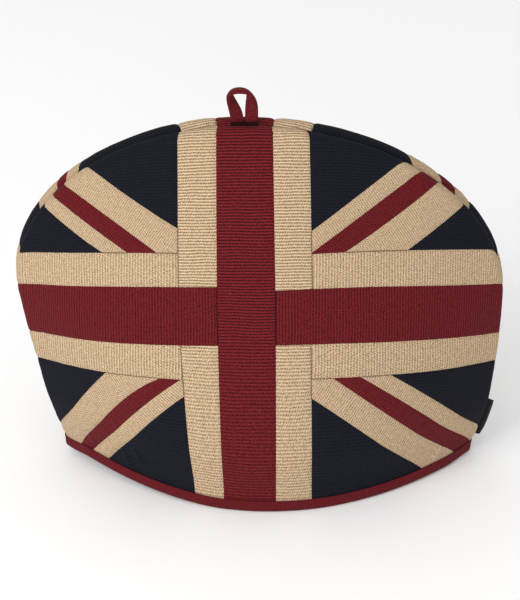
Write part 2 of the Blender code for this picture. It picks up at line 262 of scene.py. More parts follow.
# %% The seams of the flag: names and end points, across and up, in metres
DROOP_START_LEFT = -0.012
DROOP_START_RIGHT = 0.010
FLAG_MIDDLE = -0.012
BAR_MIDDLE = 0.175
CORNER_MIDDLE = {"left": -0.105, "right": 0.105}


def droop(x):
    """How far a level line sinks: the square of its distance past the middle, in metres."""
    past = np.where(x < DROOP_START_LEFT, DROOP_START_LEFT - x, np.maximum(x - DROOP_START_RIGHT, 0.0))
    return past**2


STRIP_SEAMS = {
    ("left", "over"): ((-0.0327, BAR_MIDDLE), (-0.0332, 0.300)),
    ("left", "under"): ((-0.0327, BAR_MIDDLE), (-0.0283, 0.000)),
    ("right", "over"): ((0.0113, BAR_MIDDLE), (0.0090, 0.300)),
    ("right", "under"): ((0.0113, BAR_MIDDLE), (0.0123, 0.000)),
}
BAR_SEAMS = {
    ("left", "over"): ((-0.034, 0.1960), (-0.185, 0.1940)),
    ("left", "under"): ((-0.034, 0.1512), (-0.185, 0.1454)),
    ("right", "over"): ((0.010, 0.1935), (0.185, 0.1993)),
    ("right", "under"): ((0.010, 0.1524), (0.185, 0.1536)),
}
FRAME_SEAMS = {
    ("left", "over", "level"): ((-0.034, 0.2198), (-0.185, 0.2217)),
    ("left", "under", "level"): ((-0.034, 0.1232), (-0.185, 0.1160)),
    ("right", "over", "level"): ((0.010, 0.2177), (0.185, 0.2274)),
    ("right", "under", "level"): ((0.010, 0.1243), (0.185, 0.1262)),
    ("left", "over", "upright"): ((-0.0616, 0.200), (-0.0621, 0.300)),
    ("left", "under", "upright"): ((-0.0620, 0.175), (-0.0506, 0.000)),
    ("right", "over", "upright"): ((0.0386, 0.200), (0.0362, 0.300)),
    ("right", "under", "upright"): ((0.0374, 0.175), (0.0404, 0.000)),
}
# Slanting seams, from the upright strip outwards: slope and height at the corner's middle, and bow.
SLANT_SEAMS = {
    ("left", "over"): ((-0.708, 0.2649, 1.7), (-0.724, 0.2400, 0.4),
                       (-0.698, 0.2240, 1.4), (-0.576, 0.2121, 3.0)),
    ("right", "over"): ((0.739, 0.2829, 0.4), (0.731, 0.2674, 0.4),
                        (0.746, 0.2492, 1.6), (0.725, 0.2190, 1.3)),
    ("left", "under"): ((1.554, 0.0500, -7.1), (1.391, 0.0735, -7.0),
                        (1.198, 0.0963, -11.8), (0.934, 0.1340, -11.0)),
    ("right", "under"): ((-1.001, 0.0502, -1.9), (-0.894, 0.0830, -1.3),
                         (-0.789, 0.1037, -2.3), (-0.685, 0.1212, -2.8)),
}
# The back panel is a little wider than the front one, and its upper slanting pieces lie otherwise.
BACK_FLAG_WIDTH = 1.05
BACK_SLANT_SEAMS = SLANT_SEAMS | {
    ("left", "over"): ((-0.708, 0.2651, 1.7), (-0.724, 0.2373, 0.4),
                       (-0.698, 0.2189, 1.4), (-0.576, 0.1986, 3.0)),
    ("right", "over"): ((0.739, 0.2808, 0.4), (0.731, 0.2677, 0.4),
                        (0.746, 0.2556, 1.6), (0.725, 0.2293, 1.3)),
}
print(len(STRIP_SEAMS) + len(BAR_SEAMS) + len(FRAME_SEAMS), "straight seams and 16 slanting ones")


# %% Where a place lies on the flag
ZONES = ("bar", "upright", "level", "corner")
CORNER_CLOTHS = ("navy", "beige", "red", "beige", "navy")
# How close the ribs look, and how strongly their partly painted light and shade show, for each way that a
# piece is cut. Level ribs show most, as light from above would catch them.
RIB_LOOKS = {"level": (1.0, 1.0), "upright": (1.0, 0.52), "slant": (1.25, 0.50), "plain": (1.0, 0.60)}


def seam_x(seam, height):
    """Where an upright seam lies at a height."""
    (x0, y0), (x1, y1) = seam
    return x0 + (x1 - x0) * (height - y0) / (y1 - y0)


def seam_height(seam, across):
    """How high a level seam lies at a place across."""
    (x0, y0), (x1, y1) = seam
    return y0 + (y1 - y0) * (across - x0) / (x1 - x0)


def flag_place(across, height):
    """(side, half, zone) of a place. The zone is the middle strip or one of ZONES."""
    half, upward = ("over", 1.0) if height > BAR_MIDDLE else ("under", -1.0)
    if seam_x(STRIP_SEAMS["left", half], height) < across < seam_x(STRIP_SEAMS["right", half], height):
        return ("middle", half, "strip")
    side, outward = ("left", -1.0) if across < FLAG_MIDDLE else ("right", 1.0)
    if upward * (height - seam_height(BAR_SEAMS[side, half], across)) < 0.0:
        return (side, half, "bar")
    if outward * (across - seam_x(FRAME_SEAMS[side, half, "upright"], height)) < 0.0:
        return (side, half, "upright")
    if upward * (height - seam_height(FRAME_SEAMS[side, half, "level"], across)) < 0.0:
        return (side, half, "level")
    return (side, half, "corner")


def corner_strip(side, half, across, height, slants):
    """Which of a corner's five pieces a place is on, counted from the upright strip."""
    sign = 1.0 if half == "over" else -1.0
    past = across - CORNER_MIDDLE[side]
    heights = [middle + slope * past + bow * past**2 for slope, middle, bow in slants[side, half]]
    return sum(sign * (seam - height) > 0.0 for seam in heights)


def patch_at(across, height, slants):
    """(name, cloth, turn of the ribs in degrees, their look) of the patch at a place."""
    side, half, zone = flag_place(across, height)
    name = " ".join((side, half, zone))
    if zone == "strip":
        return ("strip", "red", 90.0, "level")
    if zone == "bar":
        return (side + " bar", "red", 0.0, "upright")
    if zone == "upright":
        return (name, "beige", 90.0, "level")
    if zone == "level":
        return (name, "beige", 0.0, "upright")
    piece = corner_strip(side, half, across, height, slants)
    cloth = CORNER_CLOTHS[piece]
    if cloth == "navy":
        return (name + " " + str(piece), cloth, 90.0, "plain")
    slope = slants[side, half][min(piece, 3)][0]
    return (name + " " + str(piece), cloth, math.degrees(math.atan(slope)), "slant")


print("the middle of the left bar is", patch_at(-0.1, BAR_MIDDLE, SLANT_SEAMS))

# %% [markdown]
# ## Cutting the cloth
#
# A round of cloth gets the panel's outline, and then straight cuts go through it. Bisect is the right tool,
# because it cuts only the selected faces, so a seam can stop at the seam that it meets. The first cuts are a
# grid, so that the cloth can bend. For a seam that bows, the cloth is slid by the bow, cut straight and slid
# back.


# %% Helpers to select and cut
def to_mode(mode):
    bpy.ops.object.mode_set(mode=mode)


def only_active(piece):
    bpy.ops.object.select_all(action="DESELECT")
    piece.select_set(True)
    bpy.context.view_layer.objects.active = piece


def select_faces(piece, wanted):
    """Selects the faces with a true wanted(middle, normal), in edit mode."""
    to_mode("OBJECT")
    mesh = piece.data
    mesh.vertices.foreach_set("select", [False] * len(mesh.vertices))
    mesh.edges.foreach_set("select", [False] * len(mesh.edges))
    chosen = [bool(wanted(face.center, face.normal)) for face in mesh.polygons]
    mesh.polygons.foreach_set("select", chosen)
    to_mode("EDIT")


def cut_along(start, end):
    """Cuts the selected faces along the upright plane through two places."""
    along = Vector((end[0] - start[0], end[1] - start[1], 0.0)).normalized()
    square_to_it = (along.y, -along.x, 0.0)
    bpy.ops.mesh.bisect(plane_co=(*start, 0.0), plane_no=square_to_it, threshold=0.00001)


# %% The outline of a panel laid flat
OUTLINE_STEP = 0.005
CELL = 0.0055


def summed(steps):
    return np.concatenate([[0.0], np.cumsum(steps)])


def step_lengths(path):
    return np.linalg.norm(np.diff(path, axis=0), axis=1)


def travelled_along(path):
    """How far along a path each of its points lies."""
    return summed(step_lengths(path))


def row_length(path):
    return float(step_lengths(path).sum())


def evenly_along(path, step):
    """Points at even steps along a path."""
    travelled = travelled_along(path)
    stops = np.linspace(0.0, travelled[-1], round(travelled[-1] / step) + 1)
    return np.stack([np.interp(stops, travelled, column) for column in path.T], axis=-1)


def flat_outline(shoulder, mirrored):
    """The panel's flat outline, anticlockwise. The back one is mirrored."""
    reach = edge_line + edge_out[:, [0, 2]] * flat_margin(shoulder)[:, None]
    over = evenly_along(reach, OUTLINE_STEP)
    hem_x = np.linspace(over[-1, 0], over[0, 0], round((over[-1, 0] - over[0, 0]) / OUTLINE_STEP) + 1)[1:-1]
    hem = columns(hem_x, np.full_like(hem_x, HEM_EDGE_HEIGHT))
    outline = np.concatenate([over, hem])
    outline[:, 1] += droop(outline[:, 0])
    if mirrored:
        outline[:, 0] = FLAG_MIDDLE - (outline[:, 0] - FLAG_MIDDLE) / BACK_FLAG_WIDTH
        return outline
    return outline[::-1]


def lay_cloth(name, shoulder, mirrored):
    """A flat cloth with that outline, cut into a grid and left in edit mode."""
    outline = flat_outline(shoulder, mirrored)
    bpy.ops.mesh.primitive_circle_add(vertices=len(outline), fill_type="NGON", calc_uvs=False)
    cloth = bpy.context.active_object
    cloth.name = cloth.data.name = name
    for vertex, (across, height) in zip(cloth.data.vertices, outline):
        vertex.co = (across, height, 0.0)
    low, high = outline.min(axis=0), outline.max(axis=0)
    to_mode("EDIT")
    cuts = [((across, low[1]), (across, high[1])) for across in np.arange(low[0] + CELL, high[0], CELL)]
    cuts += [((low[0], height), (high[0], height)) for height in np.arange(low[1] + CELL, high[1], CELL)]
    for cut in cuts:
        bpy.ops.mesh.select_all(action="SELECT")
        cut_along(*cut)
    print(name, "laid flat:", (high - low).round(3), "m")
    return cloth


# %% Cutting the flag's seams
def bow_cloth(cloth, side, bow):
    """Slides the cloth up by the bow times the square of the way from the corner's middle."""
    to_mode("OBJECT")
    for vertex in cloth.data.vertices:
        vertex.co.y += bow * (vertex.co.x - CORNER_MIDDLE[side]) ** 2
    to_mode("EDIT")


def in_zones(side, half, zones):
    """A test for the faces of some zones in one quarter of the flag."""

    def wanted(middle, _normal):
        place = flag_place(middle.x, middle.y)
        return place[:2] == (side, half) and place[2] in zones

    return wanted


def cut_seams(cloth, slants):
    """Cuts each seam only through the cloth that it joins, the long ones first."""
    bpy.ops.mesh.select_all(action="SELECT")
    cut_along((-1.0, BAR_MIDDLE), (1.0, BAR_MIDDLE))
    for (_side, half), seam in STRIP_SEAMS.items():
        over = half == "over"
        select_faces(cloth, lambda middle, _normal: (middle.y > BAR_MIDDLE) == over)
        cut_along(*seam)
    for (side, half), bar_seam in BAR_SEAMS.items():
        frame_seams = [FRAME_SEAMS[side, half, zone] for zone in ("upright", "level")]
        for number, seam in enumerate([bar_seam, *frame_seams]):
            select_faces(cloth, in_zones(side, half, ZONES[number:]))
            cut_along(*seam)
        middle = CORNER_MIDDLE[side]
        for slope, height, bow in slants[side, half]:
            select_faces(cloth, in_zones(side, half, ("corner",)))
            bow_cloth(cloth, side, -bow)
            cut_along((middle, height), (middle + 1.0, height + slope))
            bow_cloth(cloth, side, bow)


# %% [markdown]
# ## Giving each piece its cloth, then padding it
#
# A number on each face says which patch it is in, so that the patch keeps its colour and the run of its ribs
# when the faces are divided. Solidify gives the cloth its lining side and closes the edge. Only the outer
# side is divided finely, as the lining stays smooth.

# %% Patches, padding and fine division
CLOTH_SLOTS = ("beige", "red", "navy", "lining")
FINE_CUTS = 3
SEAM_SAMPLE = 0.0004
# Between two colours the shade in a seam hardly shows, so it fades faster there.
TWO_COLOUR_FADE = 5.0


def assign_patches(cloth, slants):
    """Gives each face its patch and cloth. Returns the patches and points along their edges."""
    mesh = cloth.data
    patches = {}
    numbers = []
    for face in mesh.polygons:
        patch = patch_at(face.center.x, face.center.y, slants)
        numbers.append(patches.setdefault(patch, len(patches)))
        face.material_index = CLOTH_SLOTS.index(patch[1])
    layer = mesh.attributes.new("patch", "INT", "FACE")
    layer.data.foreach_set("value", numbers)
    patches = list(patches)
    faces_at = {}
    for face, number in zip(mesh.polygons, numbers):
        for key in face.edge_keys:
            faces_at.setdefault(key, []).append(number)
    points = []
    for (first, second), around in faces_at.items():
        if len(around) == 2 and around[0] == around[1]:
            continue
        cloths = {patches[number][1] for number in around}
        fade = TWO_COLOUR_FADE if len(cloths) == 2 else 1.0
        start, end = mesh.vertices[first].co, mesh.vertices[second].co
        steps = max(1, math.ceil((end - start).length / SEAM_SAMPLE))
        points.extend((start.lerp(end, step / steps), fade) for step in range(steps + 1))
    return patches, points


def pad_and_divide(cloth):
    """Gives the cloth its lining side, then divides the outer side finely."""
    only_active(cloth)
    padding = cloth.modifiers.new("padding", "SOLIDIFY")
    padding.thickness = PAD_THICKNESS
    padding.offset = -1.0
    bpy.ops.object.modifier_apply(modifier=padding.name)
    to_mode("EDIT")
    bpy.ops.mesh.select_mode(type="FACE")
    bpy.ops.mesh.select_all(action="SELECT")
    bpy.ops.mesh.select_face_by_sides(number=4, type="GREATER")
    bpy.ops.mesh.quads_convert_to_tris()
    select_faces(cloth, lambda _middle, normal: normal.z > 0.5)
    bpy.ops.mesh.subdivide(number_cuts=FINE_CUTS)
    to_mode("OBJECT")
    for face in cloth.data.polygons:
        if face.normal.z < -0.5:
            face.material_index = CLOTH_SLOTS.index("lining")
    print(cloth.name, len(cloth.data.vertices), "points", len(cloth.data.polygons), "faces")


# %% [markdown]
# ## Relief: seams, padding and puckers
#
# A seam pulls the cloth down to a fine groove, and the padding lifts it again on both sides, with small
# puckers. All this follows the distance to the nearest seam. A Displace modifier with a texture could do the
# puckers, but it doesn't know where the seams are. A few creases stand up near the hem, and at its left
# corner the strips end in soft bulges.

# %% Distance to the nearest seam, and the relief that follows
GROOVE_DEPTH = 0.0006
GROOVE_WIDTH = 0.0010
PUFF_HEIGHT = 0.0006
PUFF_WIDTH = 0.0060
FRONT_PUCKER = 0.00035
BACK_PUCKER = 0.00070
PUCKER_REACH = 0.0070
PUCKER_LENGTH = 0.0075
SWELL_HEIGHT = 0.0007
SWELL_LENGTH = 0.0450
# The soft bulges at the hem's left corner: height, width, and how they start across and fade over the hem.
HEM_PUFF = 0.0014
HEM_PUFF_WIDTH = 0.0040
HEM_PUFF_LEFT = (0.095, 0.120)
HEM_PUFF_OVER = (0.025, 0.060)
CREASE_WIDTH = 0.0018
# Creases of the front, laid flat: across and height of both ends, and how far each stands up.
FRONT_CREASES = (
    (0.1396, 0.0325, 0.1455, 0.0434, 0.0016),
    (-0.1082, 0.0383, -0.1029, 0.0251, 0.0011),
    (-0.0988, 0.0429, -0.0920, 0.0276, 0.0011),
    (-0.1161, 0.0714, -0.1107, 0.0650, 0.0005),
    (-0.1261, 0.0607, -0.1216, 0.0529, 0.0005),
    (-0.1383, 0.0457, -0.1345, 0.0375, 0.0004),
)


def seam_distances(places, seam_points):
    """Each place's distance to the nearest seam, and how fast the shade fades there."""
    tree = KDTree(len(seam_points))
    for number, (point, _fade) in enumerate(seam_points):
        tree.insert(point, number)
    tree.balance()
    found = [tree.find((across, height, 0.0)) for across, height in places]
    return np.array([hit[2] for hit in found]), np.array([seam_points[hit[1]][1] for hit in found])


def crease_relief(places, creases):
    relief = np.zeros(len(places))
    for x0, h0, x1, h1, rise in creases:
        start, run = np.array([x0, h0]), np.array([x1 - x0, h1 - h0])
        share = np.clip((places - start) @ run / (run @ run), 0.0, 1.0)
        away = np.linalg.norm(places - start - share[:, None] * run, axis=1)
        relief += rise * np.exp(-((away / CREASE_WIDTH) ** 2))
    return relief


def relief_at(places, distance, pucker_height, seed):
    """How far the cloth stands over the padding's form, in metres."""
    groove = -GROOVE_DEPTH * np.exp(-((distance / GROOVE_WIDTH) ** 2))
    puff = PUFF_HEIGHT * (1.0 - np.exp(-distance / PUFF_WIDTH)) - PUFF_HEIGHT / 2.0
    pucker = np.array([noise.noise((a / PUCKER_LENGTH, h / PUCKER_LENGTH, seed)) for a, h in places])
    swell = np.array([noise.noise((a / SWELL_LENGTH, h / SWELL_LENGTH, seed + 9.0)) for a, h in places])
    over_hem = places[:, 1] - droop(places[:, 0])
    corner = smooth_step(-places[:, 0], *HEM_PUFF_LEFT) * (1.0 - smooth_step(over_hem, *HEM_PUFF_OVER))
    puff += HEM_PUFF * corner * (1.0 - np.exp(-distance / HEM_PUFF_WIDTH))
    return groove + puff + pucker_height * pucker * np.exp(-distance / PUCKER_REACH) + SWELL_HEIGHT * swell


# %% [markdown]
# ## Drawing the cloth over the form
#
# Inside the edge line the cloth lies on the dome. Beyond it, the distance from the edge line says how far
# the cloth has turned over the shoulder. The back panel is the same, mirrored and turned to face the other
# way.

# %% From the flat cloth to the cosy
# The relief fades out where the binding grips the panels, and down in the valley between them.
GRIP_FADE = (0.0095, 0.0150)
VALLEY_FADE = (0.80, 1.0)
SOFTNESS_EDGE_POWER = 4
NEAREST_BATCH = 4000


def nearest_edge_samples(points):
    """The nearest sample of the edge line, by number, and the distance to it."""
    nearest = np.empty(len(points), dtype=int)
    distance = np.empty(len(points))
    for first in range(0, len(points), NEAREST_BATCH):
        batch = slice(first, first + NEAREST_BATCH)
        gaps = points[batch, None, :] - edge_line[None, :, :]
        squares = np.sum(gaps * gaps, axis=-1)
        nearest[batch] = np.argmin(squares, axis=1)
        distance[batch] = np.sqrt(squares.min(axis=1))
    return nearest, distance


def over_the_form(flat, relief, places, shoulder, mirrored):
    """Places on the cosy for flat ones (across, height, depth under the outer side)."""
    x = flat[:, 0].copy()
    if mirrored:
        x = FLAG_MIDDLE - (x - FLAG_MIDDLE) * BACK_FLAG_WIDTH
    z = flat[:, 1] - droop(x)
    beyond = (x < dome_x(-1.0, z)) | (x > dome_x(1.0, z))
    nearest, distance = nearest_edge_samples(columns(x[beyond], z[beyond]))
    turned = np.zeros(len(x))
    turned[beyond] = np.clip(distance / flat_margin(shoulder)[nearest], 0.0, 1.0)
    x[beyond] = edge_line[nearest, 0]
    z[beyond] = edge_line[nearest, 1]
    outward = edge_out[nearest]
    normal = face_normal(x, z, shoulder)
    outer_way = normal.copy()
    inner_way = normal.copy()
    share = turned[beyond][:, None]
    seam_way = seam_direction(outward, z[beyond], shoulder)
    outer_way[beyond] = turn_between(normal[beyond], seam_way, share)
    inner_way[beyond] = turn_between(normal[beyond], outward, share)
    core = columns(x, -core_depth(x, z, shoulder), z)
    edge_share = np.minimum(np.abs(across_share(x, z)), 1.0)
    swell = softness(x, z, places) * (1.0 - edge_share**SOFTNESS_EDGE_POWER)
    radius = shoulder_radius(z, shoulder) + swell
    padding = HEM_PAD_THICKNESS + (PAD_THICKNESS - HEM_PAD_THICKNESS) * pinch(z)
    inward = np.clip(-flat[:, 2] / PAD_THICKNESS, 0.0, 1.0)
    held = smooth_step(z, *GRIP_FADE)
    valley = 1.0 - smooth_step(turned, *VALLEY_FADE)
    height = radius + relief * (1.0 - inward) * held * valley
    placed = core + height[:, None] * outer_way - (inward * padding)[:, None] * inner_way
    placed = lifted(placed)
    # Each panel goes a little way over the middle, so that they meet without a gap.
    placed[:, 1] += SEAM_OVERLAP / 2.0
    if mirrored:
        placed[:, 1] *= -1.0
    placed[:, 1] -= SEAM_FORWARD
    return placed


# %% [markdown]
# ## The run of the ribs
#
# A patchwork shows its cloth's grain, because each piece is cut its own way. A UV map in metres carries
# this: its first number grows across the ribs and its second along them. It uses true length along the dome.
# A projection would make the ribs look wider where the dome turns away.

# %% A UV map in metres for each patch
MEASURED_HEIGHT = 0.12
# The binding pulls the cloth down, so ribs stand wider apart towards the hem. Their partly painted light and
# shade also show less there.
RIB_PULL = 0.28
RIB_PULL_SPAN = (0.09, 0.19)
LOW_RIB_SHOW = 0.55
RIB_SHOW_SPAN = (0.11, 0.19)
# Each patch is cut from another place in the cloth.
PATCH_OFFSET = 0.0137


def true_steps(places, depth):
    """The true length of each step along a section of the dome, from its depth."""
    step = places[1] - places[0]
    slope = np.diff(depth) / step
    return np.sqrt(1.0 + slope**2) * step


ruler_x = np.linspace(-0.24, 0.24, 481)
ruler_z = np.linspace(-0.02, 0.40, 421)
inside_x = np.clip(ruler_x, dome_x(-1.0, MEASURED_HEIGHT), dome_x(1.0, MEASURED_HEIGHT))
level_depth = core_depth(inside_x, np.full_like(ruler_x, MEASURED_HEIGHT), FRONT_SHOULDER_DEPTH)
inside_z = np.clip(ruler_z, PINCH_ABOVE, CROWN_HEIGHT)
upright_depth = core_depth(np.zeros_like(ruler_z), inside_z, FRONT_SHOULDER_DEPTH)
pulled = 1.0 - RIB_PULL * (1.0 - smooth_step(ruler_z[1:], *RIB_PULL_SPAN))
length_across = summed(true_steps(ruler_x, level_depth))
length_up = summed(true_steps(ruler_z, upright_depth) * pulled)
print("cloth across the dome", round(length_across[-1], 3), "m, up it", round(length_up[-1], 3), "m")


def read_values(items, name, kind=float, width=1):
    """A value, or as many as the width says, from each item of a mesh."""
    values = np.empty(len(items) * width, dtype=kind)
    items.foreach_get(name, values)
    return values


def add_values(piece, name, domain, values):
    """Gives each point or corner of a piece a named value."""
    piece.data.attributes.new(name, "FLOAT", domain).data.foreach_set("value", values)


def map_ribs(piece, flat, patches):
    mesh = piece.data
    corners = read_values(mesh.loops, "vertex_index", int)
    sizes = read_values(mesh.polygons, "loop_total", int)
    numbers = np.repeat(read_values(mesh.attributes["patch"].data, "value", int), sizes)
    angle = np.radians(np.array([patch[2] for patch in patches]))[numbers]
    across = np.interp(flat[corners, 0], ruler_x, length_across)
    up = np.interp(flat[corners, 1], ruler_z, length_up)
    closeness, show = np.array([RIB_LOOKS[patch[3]] for patch in patches]).T[:, numbers]
    level = np.array([patch[3] == "level" for patch in patches])[numbers]
    shown_low = LOW_RIB_SHOW + (1.0 - LOW_RIB_SHOW) * smooth_step(flat[corners, 1], *RIB_SHOW_SPAN)
    # How strongly the ribs' partly painted light and shade show, at each corner.
    add_values(piece, "rib_show", "CORNER", np.where(level, show * shown_low, show))
    over_ribs = across * np.cos(angle) + up * np.sin(angle) + numbers * PATCH_OFFSET
    along_ribs = up * np.cos(angle) - across * np.sin(angle)
    mapped = columns(over_ribs, along_ribs) * closeness[:, None]
    mesh.uv_layers.new(name="UVMap").data.foreach_set("uv", mapped.ravel())


# %% [markdown]
# ## Ribbed cotton
#
# The cloth is matt, with round ribs 2.3 mm apart, a finer yarn over them and a short fuzz. One recipe makes
# the three colours, the binding and the tape. The ribs come from a sine of the UV map rather than from an
# image, and the same sine drives the bump and the colour, so light and colour agree: the colour is lighter
# on the ribs and darker between them, partly the weave and partly painted light on the crests and painted
# shade in the grooves. Near a seam the cloth dives into painted shade.

# %% Small node helpers
def add_node(tree, kind, feeds=None, **settings):
    """A new node. Its sockets are fed with numbers, colours or other nodes' outputs."""
    node = tree.nodes.new(kind)
    for name, value in settings.items():
        setattr(node, name, value)
    for socket, value in (feeds or {}).items():
        if isinstance(value, bpy.types.NodeSocket):
            tree.links.new(value, node.inputs[socket])
        else:
            node.inputs[socket].default_value = (*value, 1.0) if isinstance(value, tuple) else value
    return node


def maths(tree, operation, *values):
    return add_node(tree, "ShaderNodeMath", dict(enumerate(values)), operation=operation).outputs[0]


def wave(tree, turns):
    """A sine that runs between 0 and 1."""
    return maths(tree, "MULTIPLY_ADD", maths(tree, "SINE", turns), 0.5, 0.5)


def noise_at(tree, vector, scale, detail):
    feeds = {"Vector": vector, "Scale": scale, "Detail": detail}
    return add_node(tree, "ShaderNodeTexNoise", feeds).outputs["Fac"]


def blend_colours(tree, share, first, second):
    """A blend of two colours. Sockets 6 and 7 of a Mix node are its colours."""
    feeds = {"Factor": share, 6: first, 7: second}
    return add_node(tree, "ShaderNodeMix", feeds, data_type="RGBA").outputs[2]


def scaled(colour, share):
    return tuple(channel * share for channel in colour)


def piece_value(tree, name):
    return add_node(tree, "ShaderNodeAttribute", attribute_name=name).outputs["Fac"]


def cloth_place(tree):
    """The UV map, and its two parts: across the ribs and along them."""
    mapped = add_node(tree, "ShaderNodeUVMap", uv_map="UVMap").outputs["UV"]
    split = add_node(tree, "ShaderNodeSeparateXYZ", {0: mapped})
    return mapped, split.outputs["X"], split.outputs["Y"]


def new_cloth(name, roughness, sheen):
    """A new material with its shader's constant values set."""
    cloth = bpy.data.materials.new(name)
    cloth.use_nodes = True
    shader = cloth.node_tree.nodes["Principled BSDF"]
    feeds = {"Roughness": roughness, "Specular IOR Level": 0.1, "Sheen Weight": sheen, "Sheen Roughness": 0.5}
    for socket, value in feeds.items():
        shader.inputs[socket].default_value = value
    return cloth, cloth.node_tree, shader


def show_cloth(tree, shader, colour, height, strength=1.0):
    feeds = {"Distance": 1.0, "Strength": strength, "Height": height}
    bump = add_node(tree, "ShaderNodeBump", feeds)
    tree.links.new(bump.outputs["Normal"], shader.inputs["Normal"])
    tree.links.new(colour, shader.inputs["Base Color"])


# %% The cottons
RIB_PITCH = 0.0023
RIB_HEIGHT = 0.00032
RIB_DRIFT = 0.0016
DRIFT_SCALE = 45.0
YARN_HEIGHT = 0.00012
YARN_SCALE = 900.0
PATCHY_SCALE = 260.0
THREAD_PITCH = 0.0019
SEAM_SHADE_WIDTH = 0.0009
COTTON_BUMP = 0.8
# How much each part of the weave lightens and darkens the cloth.
THREAD_SHARE = 0.28
YARN_SHARE = 1.70
PATCHY_SHARE = 0.45


def ribbed_cotton(name, light, dark, sheen, contrast, seam_shade):
    """Ribbed cotton that follows the UV map: partly painted light and shade on its ribs, painted shade in its
    seams.
    """
    cloth, tree, shader = new_cloth(name, 0.92, sheen)
    mapped, over_ribs, along_ribs = cloth_place(tree)
    drift = maths(tree, "SUBTRACT", noise_at(tree, mapped, DRIFT_SCALE, 2.0), 0.5)
    drifted = maths(tree, "ADD", over_ribs, maths(tree, "MULTIPLY", drift, RIB_DRIFT))
    turns = maths(tree, "MULTIPLY", drifted, 2.0 * math.pi / RIB_PITCH)
    rib = wave(tree, turns)
    half_turns = maths(tree, "MULTIPLY", turns, 0.5)
    thread = wave(tree, maths(tree, "MULTIPLY_ADD", along_ribs, 2.0 * math.pi / THREAD_PITCH, half_turns))
    yarn = noise_at(tree, mapped, YARN_SCALE, 1.0)
    patchy = noise_at(tree, mapped, PATCHY_SCALE, 3.0)
    rib_share = maths(tree, "MULTIPLY", piece_value(tree, "rib_show"), contrast)
    parts = ((rib, rib_share), (thread, THREAD_SHARE), (yarn, YARN_SHARE), (patchy, PATCHY_SHARE))
    lightness = 0.5
    for part, share in parts:
        lightness = maths(tree, "MULTIPLY_ADD", maths(tree, "SUBTRACT", part, 0.5), share, lightness)
    feeds = {"Value": piece_value(tree, "seam_distance"), "From Max": SEAM_SHADE_WIDTH}
    away = add_node(tree, "ShaderNodeMapRange", feeds, interpolation_type="SMOOTHSTEP")
    # Partly painted light on the ribs and painted shade between them, then painted shade in the seams.
    colour = blend_colours(tree, lightness, dark, light)
    colour = blend_colours(tree, away.outputs["Result"], scaled(dark, seam_shade), colour)
    yarn_height = maths(tree, "MULTIPLY", yarn, YARN_HEIGHT)
    height = maths(tree, "MULTIPLY_ADD", rib, RIB_HEIGHT, yarn_height)
    show_cloth(tree, shader, colour, height, COTTON_BUMP)
    return cloth


# Each has its colour on the ribs and between them, partly painted light and shade, its sheen, its ribs'
# contrast and the painted shade in its seams.
beige_cotton = ribbed_cotton("beige_cotton", (0.658, 0.490, 0.321), (0.199, 0.127, 0.065), 0.05, 0.90, 0.60)
red_cotton = ribbed_cotton("red_cotton", (0.185, 0.0140, 0.0195), (0.026, 0.0018, 0.0028), 0.02, 0.95, 0.60)
navy_light, navy_dark = (0.0104, 0.0112, 0.0180), (0.0033, 0.0038, 0.0068)
navy_cotton = ribbed_cotton("navy_cotton", navy_light, navy_dark, 0.01, 0.60, 0.50)
binding_light, binding_dark = (0.142, 0.0110, 0.0155), (0.070, 0.0052, 0.0075)
binding_cotton = ribbed_cotton("binding_cotton", binding_light, binding_dark, 0.02, 0.90, 0.40)
tape_cotton = ribbed_cotton("tape_cotton", (0.145, 0.0110, 0.0155), (0.055, 0.0040, 0.0062), 0.03, 0.90, 0.30)


def no_seams(piece, distance, show):
    """Gives a piece without seams the two values that the cottons read."""
    add_values(piece, "seam_distance", "POINT", distance * np.ones(len(piece.data.vertices)))
    add_values(piece, "rib_show", "CORNER", show * np.ones(len(piece.data.loops)))


LINING_WEAVE = 0.0007
MOTTLE_SCALE = 60.0
GRAIN_HEIGHT = 0.00012


def plain_cotton(name, colour):
    cloth, tree, shader = new_cloth(name, 0.95, 0.05)
    place = add_node(tree, "ShaderNodeTexCoord").outputs["Object"]
    grain = noise_at(tree, place, 1.0 / LINING_WEAVE, 2.0)
    mottle = noise_at(tree, place, MOTTLE_SCALE, 3.0)
    share = maths(tree, "MULTIPLY_ADD", mottle, 0.5, maths(tree, "MULTIPLY", grain, 0.4))
    colour = blend_colours(tree, share, scaled(colour, 0.72), colour)
    show_cloth(tree, shader, colour, maths(tree, "MULTIPLY", grain, GRAIN_HEIGHT))
    return cloth


lining_cotton = plain_cotton("lining_cotton", (0.72, 0.60, 0.43))
panel_cottons = (beige_cotton, red_cotton, navy_cotton, lining_cotton)
print("cottons:", [cotton.name for cotton in panel_cottons])


# %% [markdown]
# ## The two panels
#
# Now the steps come together. What is measured on the flat cloth is measured before the last step moves it
# onto the form.

